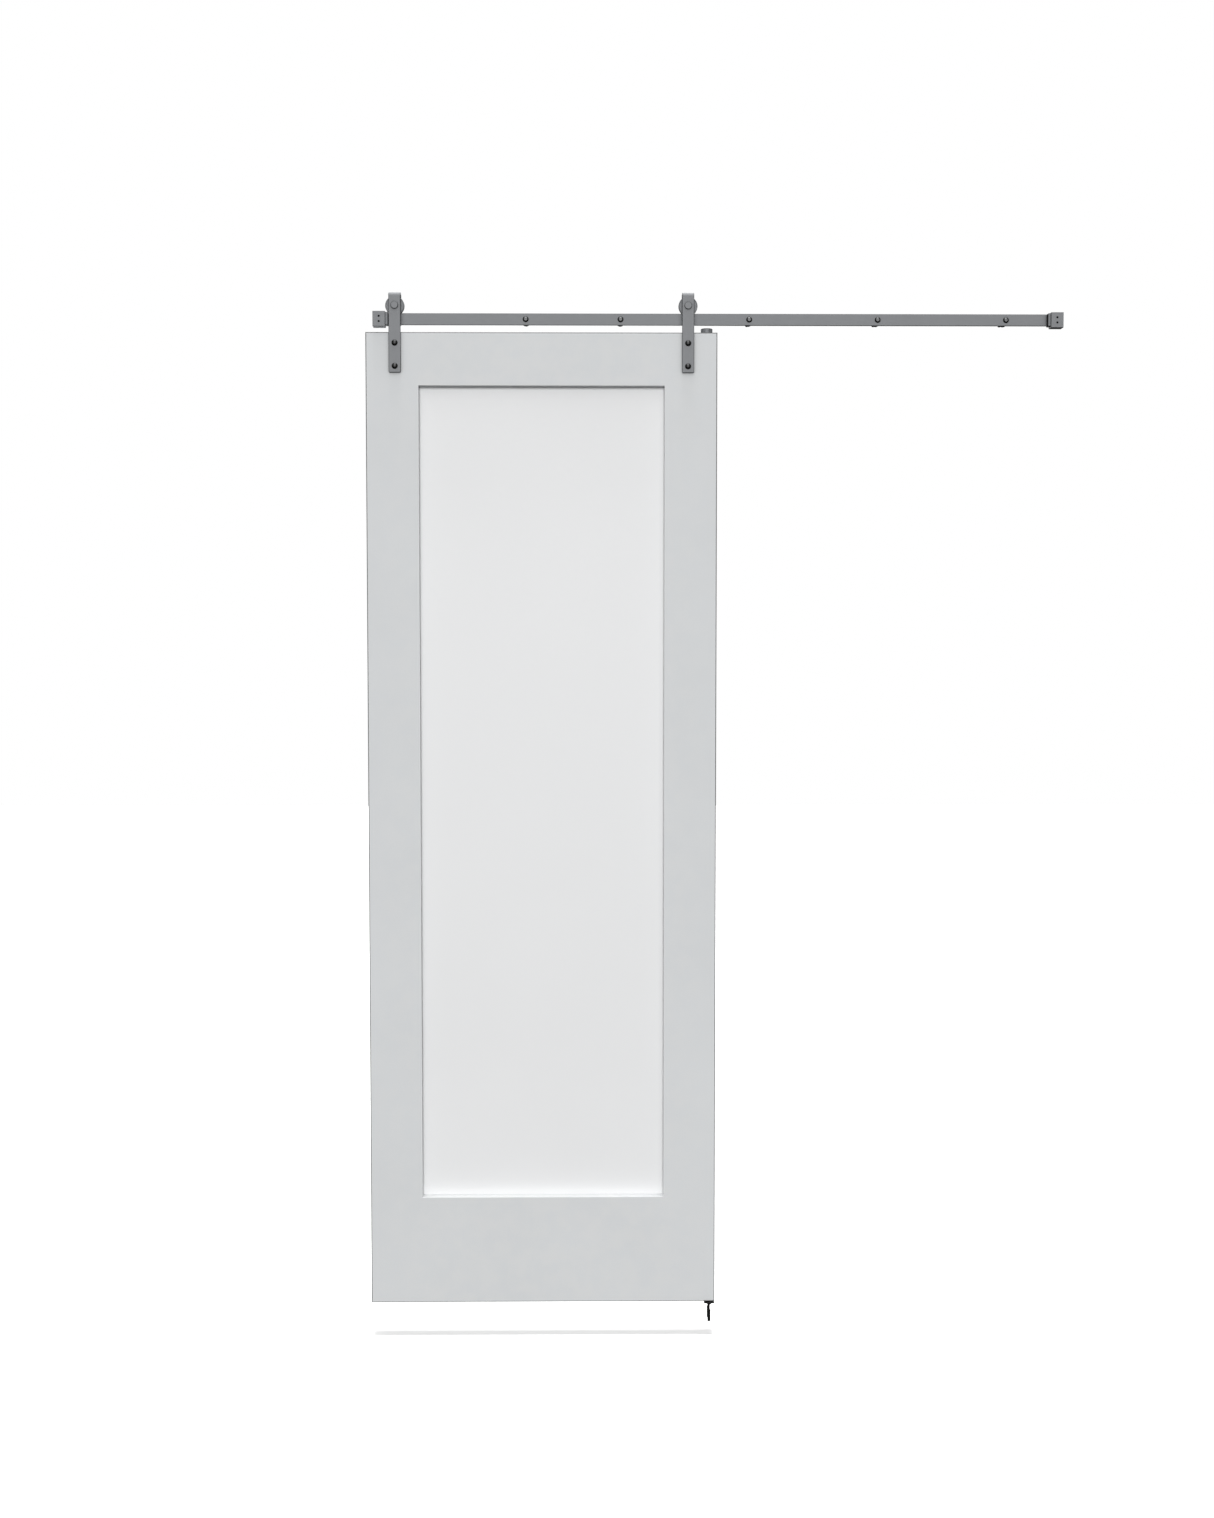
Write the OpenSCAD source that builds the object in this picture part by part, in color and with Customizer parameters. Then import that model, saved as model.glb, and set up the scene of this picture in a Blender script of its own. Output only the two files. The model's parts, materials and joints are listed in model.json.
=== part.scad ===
// Sliding barn door set: flat rail, strap hangers with grooved wheels, end stops,
// glazed door leaf, anti-jump disc and floor guide.
// Origin: wall plane, on the axis of the fourth rail fixing. X right, Y into the wall, Z up.

/* [Rail] */
// Length of the rail bar
rail_l = 1495; // [1450:1:1800]
// Height of the rail bar
rail_h = 25; // [24:0.5:32]
// Thickness of the rail bar
rail_t = 6; // [5:0.5:8]
// Distance from the left end of the rail to its first fixing
first_fixing = 51; // [45:1:80]
// Usual distance between fixings
fixing_pitch = 279; // [240:1:330]
// Shorter distance between the second and third fixings
short_pitch = 205.5; // [150:0.5:250]

/* [Rail fixings] */
// Radius of the lag screw thread
lag_r = 4; // [3:0.1:4.2]
// How much thinner the plain shank is than the thread
lag_relief = 0.3; // [0.1:0.1:0.6]
// Length of lag screw that goes into the wall
lag_in_wall = 34.5; // [30:0.5:80]
// Radius of the lag screw head
lag_head_r = 6.5; // [5.5:0.1:7]
// Height of the lag screw head
lag_head_h = 3.6; // [2.5:0.1:3.8]
// Width across flats of the lag screw socket
lag_socket_af = 5; // [4:0.1:6]
// Radius of the wall spacer body
spacer_r = 9.6; // [9:0.1:12]
// Radius of the spacer neck behind the rail
spacer_neck_r = 6.6; // [6:0.1:6.8]
// Length of the spacer neck
spacer_neck_l = 7.5; // [7:0.5:9]

/* [Hanger] */
// Width of the strap
strap_w = 26; // [24:0.5:34]
// Thickness of the strap
strap_t = 5; // [4:0.1:6]
// Clear height inside the hook above the wheel
hook_clear = 2.8; // [1.5:0.1:10]
// Length of strap on the door face
strap_on_door = 87; // [80:1:140]
// Outer radius of the two bends at the top of the hook
bend_r = 8; // [6.5:0.5:10]
// How far the back leg reaches below the wheel axis
back_leg_drop = 13; // [11:0.5:14]
// Distance from each door edge to the strap centre
strap_inset = 63.7; // [55:0.1:75]
// Distance from the door top to the upper strap bolt
upper_bolt_drop = 23.7; // [20:0.1:30]
// Distance between the two strap bolts
strap_bolt_pitch = 49.6; // [40:0.1:52]
// Radius of the rounded lower corners
strap_corner_r = 2.5; // [1:0.1:4]

/* [Strap bolts] */
// Radius of the strap bolt shank
strap_bolt_r = 3; // [2.5:0.1:3.5]
// Radius of the strap bolt dome
strap_head_r = 6.8; // [6:0.1:8]
// Height of the strap bolt dome
strap_head_h = 3.6; // [3:0.1:5]
// Radius of the sleeve nut barrel
sleeve_r = 5; // [4.5:0.1:6]
// Length of the sleeve nut barrel
sleeve_l = 24; // [20:1:26]
// Radius of the sleeve nut flange
sleeve_flange_r = 8; // [7:0.1:10]
// Thickness of the sleeve nut flange
sleeve_flange_t = 1.6; // [1.2:0.1:2]

/* [Wheel] */
// Radius of the wheel where it rolls on the rail
tread_r = 15.8; // [15.5:0.1:20]
// Depth of the wheel groove
flange_h = 4.7; // [3:0.1:4.9]
// Thickness of each wheel flange
flange_t = 2.4; // [2:0.1:3]
// Side gap between the wheel and the inside of the strap
wheel_side_gap = 1.5; // [1:0.1:3]
// Radius of the axle bolt
axle_r = 4; // [3.5:0.1:4.5]
// Radius of the axle bolt head
axle_head_r = 8.1; // [7:0.1:10]
// Height of the axle bolt head
axle_head_h = 3.4; // [2.5:0.1:4]
// Width across flats of the axle nut
axle_nut_af = 13; // [12:0.5:14]
// Thickness of the axle nut
axle_nut_t = 5; // [4:0.5:7]

/* [Bearing] */
// Outer radius of the bearing
bearing_r = 11; // [10.6:0.1:12.4]
// Width of the bearing
bearing_w = 7; // [7:0.1:8]
// Radius of one ball
ball_r = 2; // [1.7:0.05:2.1]
// Number of balls
ball_count = 7; // [5:1:8]

/* [End stops] */
// Length of the stop block along the rail
stop_l = 27; // [22:0.5:40]
// Depth of the stop block in front of the rail
stop_front = 12.5; // [10:0.5:14]
// Depth of the stop block behind the rail
stop_back = 5; // [3:0.5:6]
// Metal above the rail in the stop block
stop_wall_up = 2.7; // [2:0.1:5]
// Metal below the rail in the stop block
stop_wall_down = 5.1; // [3:0.1:8]
// Length of the stop collar
collar_l = 5.6; // [4:0.1:8]
// Metal above and below the rail in the collar
collar_wall = 1.3; // [1:0.1:1.6]
// Metal in front of the rail in the collar
collar_front_wall = 8.5; // [5:0.5:10]
// Least thickness of the rubber stop pad
pad_t = 1.2; // [1:0.1:3]
// Radius of the set screws
set_screw_r = 1.8; // [1.5:0.1:2.5]
// Distance between the two set screws
set_screw_pitch = 11.2; // [8:0.1:14]

/* [Door leaf] */
// Width of the door leaf
door_w = 762; // [740:1:900]
// Height of the door leaf
door_h = 2133.6; // [1750:0.1:2400]
// Thickness of the door leaf
door_t = 35; // [32:0.5:45]
// Gap from the wall to the back of the door
door_gap = 6; // [4:0.5:12]
// Gap from the underside of the rail to the top of the door
rail_door_gap = 16; // [14:0.1:25]
// Width of the stiles
stile_w = 114.3; // [100:0.1:150]
// Height of the top rail
top_rail_h = 114.5; // [90:0.1:150]
// Height of the bottom rail
bottom_rail_h = 236; // [180:0.5:300]
// Thickness of the lip in front of the glass
lip_t = 23; // [12:0.5:24]
// Width of the rabbet that holds the glass
rabbet_w = 12; // [10:0.5:16]
// Thickness of the glass
glass_t = 5; // [4:0.5:6]
// Thickness of the glazing tape
tape_t = 0.6; // [0.5:0.1:1]
// Clearance around the edge of the glass
glass_gap = 3; // [2:0.5:4]
// Radius of the frame dowels
dowel_r = 5; // [4:0.5:6]
// Length of the frame dowels
dowel_l = 60; // [40:1:70]

/* [Anti-jump disc] */
// Radius of the disc
disc_r = 12.8; // [11:0.1:14]
// Gap between the disc and the underside of a stop block that passes over it
disc_clear = 0.6; // [0.5:0.1:2]
// Distance from the right door edge to the disc centre
disc_inset = 22.5; // [18:0.5:35]
// Radius of the disc screw
disc_screw_r = 2.2; // [2:0.1:2.6]
// Length of the disc screw
disc_screw_l = 34; // [25:1:45]

/* [Floor guide] */
// Length of the guide base along the wall
guide_l = 22.5; // [21:0.5:40]
// Upper radius of the tapered bosses under the guide base
boss_r = 8; // [7:0.1:10]
// Thickness of the guide base
guide_t = 2.5; // [2:0.1:4]
// Gap from the door bottom to the guide base
guide_gap = 1.5; // [1:0.1:5]
// Distance from the right door edge to the guide centre
guide_inset = 12; // [11.5:0.5:40]
// Thickness of the guide fin
fin_t = 4; // [3:0.1:5]
// Height of the guide fin above the door bottom
fin_h = 16; // [10:0.5:20]
// Side clearance of the fin in its groove
fin_side_gap = 1; // [0.5:0.1:2]
// Distance between the two floor screws
floor_screw_pitch = 26; // [25:0.5:35]
// Radius of the floor screws
floor_screw_r = 2; // [1.6:0.1:2.4]
// Radius of the floor anchors
anchor_r = 3.35; // [3:0.05:4]
// Length of the floor anchors
anchor_l = 26; // [20:1:40]
// Distance from the underside of the guide base to the anchors
anchor_drop = 16.5; // [12:0.5:18]

/* [Clearances] */
// Radial clearance of screws and bolts in drilled holes
hole_gap = 0.2; // [0.1:0.05:0.4]
// Radial clearance of pins and threads in their seats
seat_gap = 0.05; // [0.02:0.01:0.1]
// Gap between a wheel and the rail at rest
roll_gap = 0.1; // [0.05:0.05:0.3]
// Side clearance between the wheel groove and the rail
groove_gap = 0.6; // [0.4:0.1:1]
// Gap between a hanger and a stop pad at the end of travel
stop_gap = 0.3; // [0.2:0.1:1]

/* [Hidden] */
$fn = 64;
cut = 1;

// Wheel
groove_w = rail_t + 2 * groove_gap;
flange_r = tread_r + flange_h;
wheel_w = groove_w + 2 * flange_t;
hook_gap = wheel_w + 2 * wheel_side_gap;

// Height of the axle above the rail centre, and the flange's half width where it passes the collar
axle_z = rail_h / 2 + roll_gap + tread_r;
flange_chord = sqrt(pow(flange_r, 2) - pow(axle_z - rail_h / 2 - collar_wall, 2));
pad_reach = max(pad_t, flange_chord + roll_gap - strap_w / 2 - stop_gap);

// Places along the rail, counted from the fourth fixing
stop_reach = stop_l + collar_l + pad_reach;
rail_left = -(first_fixing + 2 * fixing_pitch + short_pitch);
rail_right = rail_left + rail_l;
right_fixings = floor((rail_right - stop_reach - spacer_r) / fixing_pitch);
fixing_x = concat(
    [rail_left + first_fixing, rail_left + first_fixing + fixing_pitch, -fixing_pitch],
    [for (i = [0 : right_fixings]) i * fixing_pitch]
);

// Depths, counted from the wall plane; the hanger's front leg lies flat on the door face
wall_gap = door_gap + door_t - (hook_gap + rail_t) / 2;
rail_back = -wall_gap;
rail_front = rail_back - rail_t;
rail_mid = rail_back - rail_t / 2;
hook_front = rail_mid - hook_gap / 2;
hook_back = rail_mid + hook_gap / 2;
strap_front = hook_front - strap_t;
strap_back = hook_back + strap_t;
door_front = hook_front;
door_back = door_front + door_t;
door_mid = (door_front + door_back) / 2;

// Heights, counted from the rail centre
rail_to_door = rail_h / 2 + rail_door_gap;
door_top = -rail_to_door;
door_bottom = door_top - door_h;
hook_top = axle_z + flange_r + hook_clear + strap_t;
strap_bottom = door_top - strap_on_door;
upper_bolt_z = door_top - upper_bolt_drop;
lower_bolt_z = upper_bolt_z - strap_bolt_pitch;

// The left hanger rests against the left stop pad, which places the door leaf
left_strap_x = rail_left + stop_reach + stop_gap + strap_w / 2;
door_left = left_strap_x - strap_inset;
door_right = door_left + door_w;
right_strap_x = door_right - strap_inset;
travel = rail_right - stop_reach - stop_gap - strap_w / 2 - right_strap_x;

// Stops
stop_up = rail_h / 2 + stop_wall_up;
stop_down = rail_h / 2 + stop_wall_down;
collar_front = rail_front - collar_front_wall;

// Bearing
ball_circle_r = (bearing_r + axle_r) / 2;
hub_ring_r = bearing_r + 2.4;
race_wall = 1.3;
outer_race_bore = ball_circle_r + race_wall;
inner_race_r = ball_circle_r - race_wall;
race_groove_r = ball_r + seat_gap;
shield_t = 0.3;
shield_seat_r = outer_race_bore + 0.4;
cage_wall = 1.2;
bush_r = 6;

// Glass opening
open_left = door_left + stile_w;
open_right = door_right - stile_w;
open_top = door_top - top_rail_h;
open_bottom = door_bottom + bottom_rail_h;
lip_back = door_front + lip_t;
glass_front = lip_back + tape_t;
glass_back = glass_front + glass_t;
pane_left = open_left - rabbet_w + glass_gap;
pane_right = open_right + rabbet_w - glass_gap;
pane_top = open_top + rabbet_w - glass_gap;
pane_bottom = open_bottom - rabbet_w + glass_gap;
bead_w = rabbet_w - 0.2;
block_l = 60;

// Door joints
dowel_rise = 27;
top_dowel_z = [door_top - dowel_rise, open_top + dowel_rise + rabbet_w / 2];
bottom_dowel_z = [open_bottom - dowel_rise - rabbet_w / 2, door_bottom + 2 * dowel_rise];
dowel_seat = dowel_l / 2 + 0.5;

// Floor guide
guide_x = door_right - guide_inset;
guide_top = door_bottom - guide_gap;
guide_under = guide_top - guide_t;
fin_l = guide_l - 2;
groove_d = fin_h + 3;
groove_wide = fin_t + 2 * fin_side_gap;
screw_head_r = 2.4 * floor_screw_r;
screw_cone_h = 2.2 * floor_screw_r;
guide_w = floor_screw_pitch + 2 * boss_r;
boss_h = 4.4;
anchor_top = guide_under - anchor_drop;
disc_x = door_right - disc_inset;
disc_h = rail_door_gap - stop_wall_down - disc_clear;

metal_grey = [0.54, 0.55, 0.56];
black = [0.07, 0.07, 0.07];
paint = [0.82, 0.83, 0.84];
steel = [0.7, 0.71, 0.73];
wood_tone = [0.8, 0.66, 0.45];

// A cylinder along Y, from y to y + h
module rod_y(x, y, z, r, h) {
    translate([x, y, z]) rotate([-90, 0, 0]) cylinder(r = r, h = h);
}

// A cylinder standing on z
module rod_z(x, y, z, r, h) {
    translate([x, y, z]) cylinder(r = r, h = h);
}

// A box between two corners
module box(low, high) {
    translate(low) cube(high - low);
}

// A domed head whose flat side is at y, with the dome towards -Y
module dome_y(x, y, z, r, h) {
    ball = (r * r + h * h) / (2 * h);
    intersection() {
        rod_y(x, y - h - cut, z, r, h + cut);
        translate([x, y - h + ball, z]) sphere(r = ball);
    }
}

// A shape drawn as [radius, depth] and turned about a Y axis; depth 0 lies at y
module turned_y(x, y, z) {
    translate([x, y, z]) rotate([-90, 0, 0]) rotate_extrude() children();
}

// ---- Track ----

module rail() {
    color(metal_grey) difference() {
        box([rail_left, rail_front, -rail_h / 2], [rail_right, rail_back, rail_h / 2]);
        for (x = fixing_x) rod_y(x, rail_front - cut, 0, lag_r + hole_gap, rail_t + 2 * cut);
    }
}

module rail_spacers() {
    color(black) for (x = fixing_x) {
        turned_y(x, rail_back, 0) difference() {
            union() {
                square([spacer_neck_r, spacer_neck_l + cut]);
                translate([0, spacer_neck_l]) square([spacer_r, wall_gap - spacer_neck_l]);
            }
            translate([0, -cut]) square([lag_r + hole_gap, wall_gap + 2 * cut]);
        }
    }
}

module rail_lag_screws() {
    socket_d = lag_socket_af / cos(30);
    tip_h = lag_r + 1;
    color(metal_grey) for (x = fixing_x) {
        difference() {
            union() {
                dome_y(x, rail_front, 0, lag_head_r, lag_head_h);
                turned_y(x, rail_front, 0) polygon([
                    [0, -0.5],
                    [lag_r - lag_relief, -0.5],
                    [lag_r - lag_relief, -rail_front],
                    [lag_r, -rail_front],
                    [lag_r, lag_in_wall - rail_front],
                    [0.4, lag_in_wall - rail_front + tip_h],
                    [0, lag_in_wall - rail_front + tip_h]
                ]);
            }
            translate([x, rail_front - lag_head_h - cut, 0]) rotate([-90, 0, 0])
                cylinder(d = socket_d, h = cut + 2, $fn = 6);
        }
    }
}

// The stop for the left end; the right one is its mirror image
module stop_block() {
    collar_h = rail_h / 2 + collar_wall;
    difference() {
        union() {
            box([0, rail_front - stop_front, -stop_down], [stop_l, rail_back + stop_back, stop_up]);
            translate([stop_l - cut, 0, 0]) rotate([90, 0, 90]) linear_extrude(collar_l + cut)
                polygon([
                    [collar_front, -collar_h],
                    [rail_back + stop_back, -collar_h],
                    [rail_back + stop_back, collar_h],
                    [collar_front, collar_h]
                ]);
        }
        box([-cut, rail_front - seat_gap, -rail_h / 2 - seat_gap],
            [stop_l + collar_l + cut, rail_back + seat_gap, rail_h / 2 + seat_gap]);
        stop_bevel(collar_h);
        for (z = set_screw_z())
            rod_y(stop_l / 2, rail_front - stop_front - cut, z, set_screw_r, stop_front + 2 * cut);
    }
}

// Takes off the collar's upper and lower inner edges, so that the wheel passes
module stop_bevel(collar_h) {
    bevel = 1;
    end = stop_l + collar_l;
    for (side = [-1, 1])
        translate([end, rail_back + stop_back + cut, side * collar_h])
            rotate([90, 0, 0]) linear_extrude(stop_front + rail_t + stop_back + 2 * cut)
                polygon([[-bevel, 0], [0, -side * bevel], [cut, -side * bevel], [cut, side * cut],
                    [-bevel, side * cut]]);
}

function set_screw_z() = [
    (stop_up - stop_down) / 2 - set_screw_pitch / 2,
    (stop_up - stop_down) / 2 + set_screw_pitch / 2
];

module stop_pad() {
    pad_h = rail_h / 2 - 1;
    box([stop_l + collar_l, collar_front, -pad_h],
        [stop_reach, rail_front - seat_gap, pad_h]);
}

module set_screws() {
    screw_l = stop_front - 2.4;
    socket_d = 0.95 * set_screw_r;
    for (z = set_screw_z()) difference() {
        rod_y(stop_l / 2, rail_front - screw_l, z, set_screw_r - seat_gap, screw_l);
        translate([stop_l / 2, rail_front - screw_l - cut, z]) rotate([-90, 0, 0])
            cylinder(d = socket_d, h = 2 + cut, $fn = 6);
    }
}

module at_left_end() {
    translate([rail_left, 0, 0]) children();
}

module at_right_end() {
    translate([rail_right, 0, 0]) mirror([1, 0, 0]) children();
}

module left_stop_block() {
    color(metal_grey) at_left_end() stop_block();
}

module right_stop_block() {
    color(metal_grey) at_right_end() stop_block();
}

module left_stop_pad() {
    color(black) at_left_end() stop_pad();
}

module right_stop_pad() {
    color(black) at_right_end() stop_pad();
}

module left_set_screws() {
    color(black) at_left_end() set_screws();
}

module right_set_screws() {
    color(black) at_right_end() set_screws();
}

module floor_guide() {
    color(black) difference() {
        union() {
            box([guide_x - guide_l / 2, door_mid - guide_w / 2, guide_under],
                [guide_x + guide_l / 2, door_mid + guide_w / 2, guide_top]);
            box([guide_x - fin_l / 2, door_mid - fin_t / 2, guide_top - cut],
                [guide_x + fin_l / 2, door_mid + fin_t / 2, door_bottom + fin_h]);
            for (y = floor_screw_y()) translate([guide_x, y, guide_under - boss_h])
                cylinder(r1 = floor_screw_r + 1.4, r2 = boss_r, h = boss_h + 0.01);
        }
        for (y = floor_screw_y()) {
            rod_z(guide_x, y, guide_under - boss_h - cut, floor_screw_r + hole_gap,
                boss_h + guide_t + 2 * cut);
            translate([guide_x, y, guide_top - screw_cone_h])
                cylinder(r1 = floor_screw_r + hole_gap, r2 = screw_head_r + hole_gap,
                    h = screw_cone_h + 0.01);
        }
    }
}

function floor_screw_y() = [door_mid - floor_screw_pitch / 2, door_mid + floor_screw_pitch / 2];

module floor_screws() {
    screw_end = anchor_top - anchor_l + 4;
    head_rim = 0.5;
    color(black) for (y = floor_screw_y()) translate([guide_x, y, 0])
        rotate_extrude() polygon([
            [0, guide_top - head_rim],
            [screw_head_r - head_rim, guide_top - head_rim],
            [floor_screw_r, guide_top - screw_cone_h],
            [floor_screw_r, screw_end + 3],
            [0.3, screw_end],
            [0, screw_end]
        ]);
}

module floor_anchors() {
    nose = 1;
    color(black) for (y = floor_screw_y()) difference() {
        union() {
            rod_z(guide_x, y, anchor_top - anchor_l + nose, anchor_r, anchor_l - nose);
            translate([guide_x, y, anchor_top - anchor_l])
                cylinder(r1 = anchor_r - nose, r2 = anchor_r, h = nose);
        }
        rod_z(guide_x, y, anchor_top - anchor_l + 2.5, floor_screw_r + seat_gap, anchor_l);
    }
}

// ---- Door leaf ----

// Bore for one strap bolt and its sleeve nut, through a stile
module strap_bolt_bore(x, z) {
    sleeve_front = door_back - sleeve_l;
    rod_y(x, door_front - cut, z, strap_bolt_r + hole_gap, door_t);
    rod_y(x, sleeve_front - 0.5, z, sleeve_r + seat_gap, sleeve_l + 0.5 + cut);
    rod_y(x, door_back - sleeve_flange_t, z, sleeve_flange_r + hole_gap, sleeve_flange_t + cut);
}

// Seats for the dowels of one stile, drilled from its inner edge
module dowel_seats(x, depth) {
    for (z = concat(top_dowel_z, bottom_dowel_z))
        translate([x, door_mid, z]) rotate([0, depth > 0 ? 90 : -90, 0])
            translate([0, 0, -cut]) cylinder(r = dowel_r + seat_gap, h = abs(depth) + cut);
}

// The glass rabbet, open at the back of the door
module rabbet() {
    box([open_left - rabbet_w, lip_back, open_bottom - rabbet_w],
        [open_right + rabbet_w, door_back + cut, open_top + rabbet_w]);
}

module left_stile() {
    color(paint) difference() {
        box([door_left, door_front, door_bottom], [open_left, door_back, door_top]);
        rabbet();
        dowel_seats(open_left, -dowel_seat);
        for (z = [upper_bolt_z, lower_bolt_z]) strap_bolt_bore(left_strap_x, z);
        guide_groove();
    }
}

module right_stile() {
    color(paint) difference() {
        box([open_right, door_front, door_bottom], [door_right, door_back, door_top]);
        rabbet();
        dowel_seats(open_right, dowel_seat);
        for (z = [upper_bolt_z, lower_bolt_z]) strap_bolt_bore(right_strap_x, z);
        guide_groove();
        rod_z(disc_x, door_mid, door_top - disc_screw_l, disc_screw_r + seat_gap, disc_screw_l + cut);
    }
}

// Groove in the underside of the door for the floor guide's fin
module guide_groove() {
    box([door_left - cut, door_mid - groove_wide / 2, door_bottom - cut],
        [door_right + cut, door_mid + groove_wide / 2, door_bottom + groove_d]);
}

module top_rail() {
    color(paint) difference() {
        box([open_left, door_front, open_top], [open_right, door_back, door_top]);
        rabbet();
        dowel_seats(open_left, dowel_seat);
        dowel_seats(open_right, -dowel_seat);
    }
}

module bottom_rail() {
    color(paint) difference() {
        box([open_left, door_front, door_bottom], [open_right, door_back, open_bottom]);
        rabbet();
        dowel_seats(open_left, dowel_seat);
        dowel_seats(open_right, -dowel_seat);
        guide_groove();
    }
}

module frame_dowels() {
    color(wood_tone) for (x = [open_left, open_right], z = concat(top_dowel_z, bottom_dowel_z))
        translate([x - dowel_l / 2, door_mid, z]) rotate([0, 90, 0])
            cylinder(r = dowel_r, h = dowel_l);
}

module glass_pane() {
    color([0.9, 0.905, 0.91]) box([pane_left, glass_front, pane_bottom],
        [pane_right, glass_back, pane_top]);
}

module glazing_tape() {
    tape_w = rabbet_w - glass_gap - 1;
    color(black) difference() {
        box([pane_left, lip_back, pane_bottom], [pane_right, glass_front, pane_top]);
        box([pane_left + tape_w, lip_back - cut, pane_bottom + tape_w],
            [pane_right - tape_w, glass_front + cut, pane_top - tape_w]);
    }
}

module setting_blocks() {
    quarter = (pane_right - pane_left) / 4;
    color(black) for (x = [pane_left + quarter, pane_right - quarter])
        box([x - block_l / 2, glass_front, pane_bottom - glass_gap],
            [x + block_l / 2, glass_back, pane_bottom]);
}

// Cross-section of a glazing bead: width into the opening, depth, and a bevelled inner edge
module bead_section() {
    depth = door_back - glass_back;
    bevel = depth / 3;
    polygon([[0, 0], [bead_w, 0], [bead_w, depth - bevel], [bead_w - bevel, depth], [0, depth]]);
}

module side_bead() {
    translate([0, glass_back, open_bottom - bead_w]) linear_extrude(open_top - open_bottom + 2 * bead_w)
        bead_section();
}

module cross_bead() {
    length = open_right - open_left;
    translate([open_left, glass_back, 0]) rotate([90, 0, 90]) linear_extrude(length)
        mirror([1, -1]) bead_section();
}

module left_bead() {
    color(paint) translate([open_left - bead_w, 0, 0]) side_bead();
}

module right_bead() {
    color(paint) translate([open_right + bead_w, 0, 0]) mirror([1, 0, 0]) side_bead();
}

module bottom_bead() {
    color(paint) translate([0, 0, open_bottom - bead_w]) cross_bead();
}

module top_bead() {
    color(paint) translate([0, 0, open_top + bead_w]) mirror([0, 0, 1]) cross_bead();
}

// ---- Hanger, drawn about the strap centre ----

// Side view of the hook as [depth, height], with rounded outer and inner bends
module hook_outline(front, back, top, r, bottom) {
    translate([front, bottom]) square([back - front, top - r - bottom]);
    translate([front + r, bottom]) square([back - front - 2 * r, top - bottom]);
    for (y = [front + r, back - r]) translate([y, top - r]) circle(r = r);
}

module strap() {
    difference() {
        translate([-strap_w / 2, 0, 0]) rotate([90, 0, 90]) linear_extrude(strap_w) difference() {
            hook_outline(strap_front, strap_back, hook_top, bend_r, strap_bottom);
            hook_outline(hook_front, hook_back, hook_top - strap_t, bend_r - strap_t,
                strap_bottom - cut);
            translate([hook_back - cut, strap_bottom - cut])
                square([strap_t + 2 * cut, axle_z - back_leg_drop - strap_bottom + cut]);
        }
        rod_y(0, strap_front - cut, axle_z, axle_r + hole_gap, hook_gap + 2 * strap_t + 2 * cut);
        for (z = [upper_bolt_z, lower_bolt_z])
            rod_y(0, strap_front - cut, z, strap_bolt_r + hole_gap, strap_t + 2 * cut);
        for (side = [-1, 1]) strap_corner(side);
    }
}

// What is cut away to round one lower corner of the strap
module strap_corner(side) {
    centre = strap_w / 2 - strap_corner_r;
    translate([side * centre, strap_front - cut, strap_bottom + strap_corner_r]) difference() {
        translate([side > 0 ? 0 : -strap_corner_r - cut, 0, -strap_corner_r - cut])
            cube([strap_corner_r + cut, strap_t + 2 * cut, strap_corner_r + cut]);
        rotate([-90, 0, 0]) cylinder(r = strap_corner_r, h = strap_t + 2 * cut);
    }
}

module axle_bolt() {
    thread_out = 1.5;
    bevel = 0.6;
    turned_y(0, strap_front, axle_z) polygon([
        [0, -axle_head_h],
        [axle_head_r - bevel, -axle_head_h],
        [axle_head_r, -axle_head_h + bevel],
        [axle_head_r, 0],
        [axle_r, 0],
        [axle_r, strap_back - strap_front + axle_nut_t + thread_out],
        [0, strap_back - strap_front + axle_nut_t + thread_out]
    ]);
}

module axle_nut() {
    difference() {
        translate([0, strap_back, axle_z]) rotate([-90, 0, 0])
            cylinder(d = axle_nut_af / cos(30), h = axle_nut_t, $fn = 6);
        rod_y(0, strap_back - cut, axle_z, axle_r + seat_gap, axle_nut_t + 2 * cut);
    }
}

module axle_bushes() {
    bush_l = (hook_gap - bearing_w) / 2;
    for (y = [hook_front, hook_back - bush_l]) difference() {
        rod_y(0, y, axle_z, bush_r, bush_l);
        rod_y(0, y - cut, axle_z, axle_r + seat_gap, bush_l + 2 * cut);
    }
}

module strap_bolts() {
    bolt_l = strap_t + door_t - sleeve_flange_t - 6;
    for (z = [upper_bolt_z, lower_bolt_z]) {
        dome_y(0, strap_front, z, strap_head_r, strap_head_h);
        rod_y(0, strap_front - 0.5, z, strap_bolt_r, bolt_l + 0.5);
    }
}

module sleeve_nuts() {
    slot_w = 1.4;
    for (z = [upper_bolt_z, lower_bolt_z]) difference() {
        union() {
            rod_y(0, door_back - sleeve_l, z, sleeve_r, sleeve_l);
            rod_y(0, door_back - sleeve_flange_t, z, sleeve_flange_r, sleeve_flange_t);
        }
        rod_y(0, door_back - sleeve_l - cut, z, strap_bolt_r + seat_gap,
            sleeve_l - sleeve_flange_t - 3 + cut);
        translate([-sleeve_r, door_back - 0.8, z - slot_w / 2]) cube([2 * sleeve_r, 2, slot_w]);
    }
}

module anti_jump_disc() {
    rim = 0.8;
    color(metal_grey) difference() {
        translate([disc_x, door_mid, door_top]) rotate_extrude() polygon([
            [0, 0],
            [disc_r, 0],
            [disc_r, disc_h - rim],
            [disc_r - rim, disc_h],
            [0, disc_h]
        ]);
        rod_z(disc_x, door_mid, door_top - cut, disc_screw_r + hole_gap, disc_h + 2 * cut);
        translate([disc_x, door_mid, door_top + disc_h - disc_cone_h()])
            cylinder(r1 = disc_screw_r + hole_gap, r2 = 2 * disc_screw_r + hole_gap,
                h = disc_cone_h() + 0.01);
    }
}

function disc_cone_h() = 1.3 * disc_screw_r;

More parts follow.
